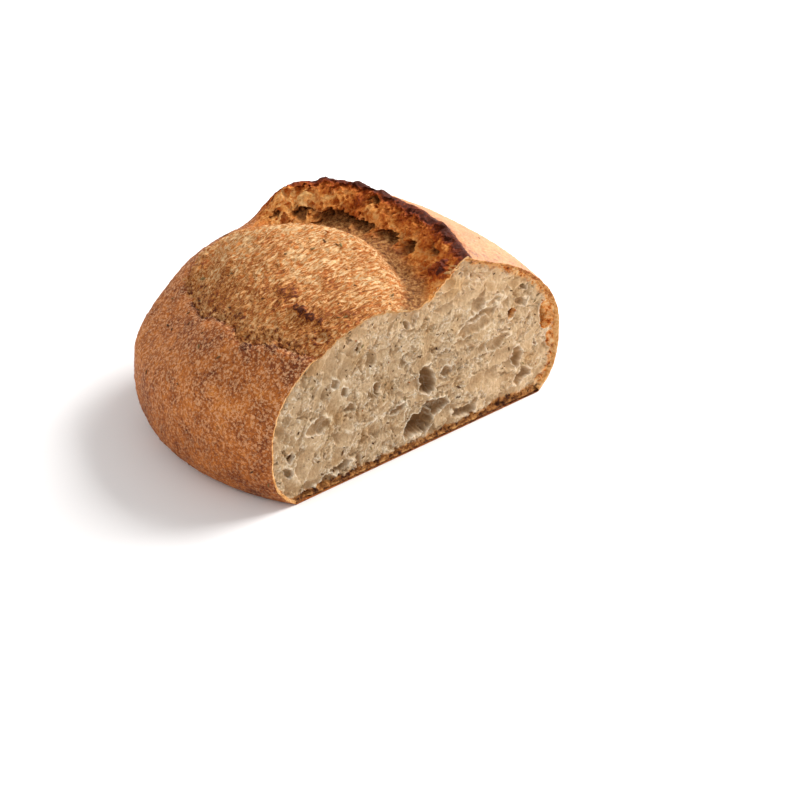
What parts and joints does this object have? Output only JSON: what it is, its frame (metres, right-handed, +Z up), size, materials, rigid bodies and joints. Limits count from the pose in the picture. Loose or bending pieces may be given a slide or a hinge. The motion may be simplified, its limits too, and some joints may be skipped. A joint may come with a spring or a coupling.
{
  "type": "cut sourdough loaf",
  "caption": "Round sourdough loaf, scored once with a raised ear, sliced across to show an open crumb.",
  "frame": {"origin": "on the ground under the middle of the loaf's bounding box", "axes": "+Z up; the cut face looks along -Y, with the loaf behind it towards +Y; +X runs across the cut towards the side with the ear"},
  "size_m": [0.1982, 0.143, 0.095],
  "materials": {
    "bread": "matte floury golden-brown crust, cream open crumb on the cut face"
  },
  "bodies": {
    "root": {"loaf": "bread"}
  },
  "joints": []
}
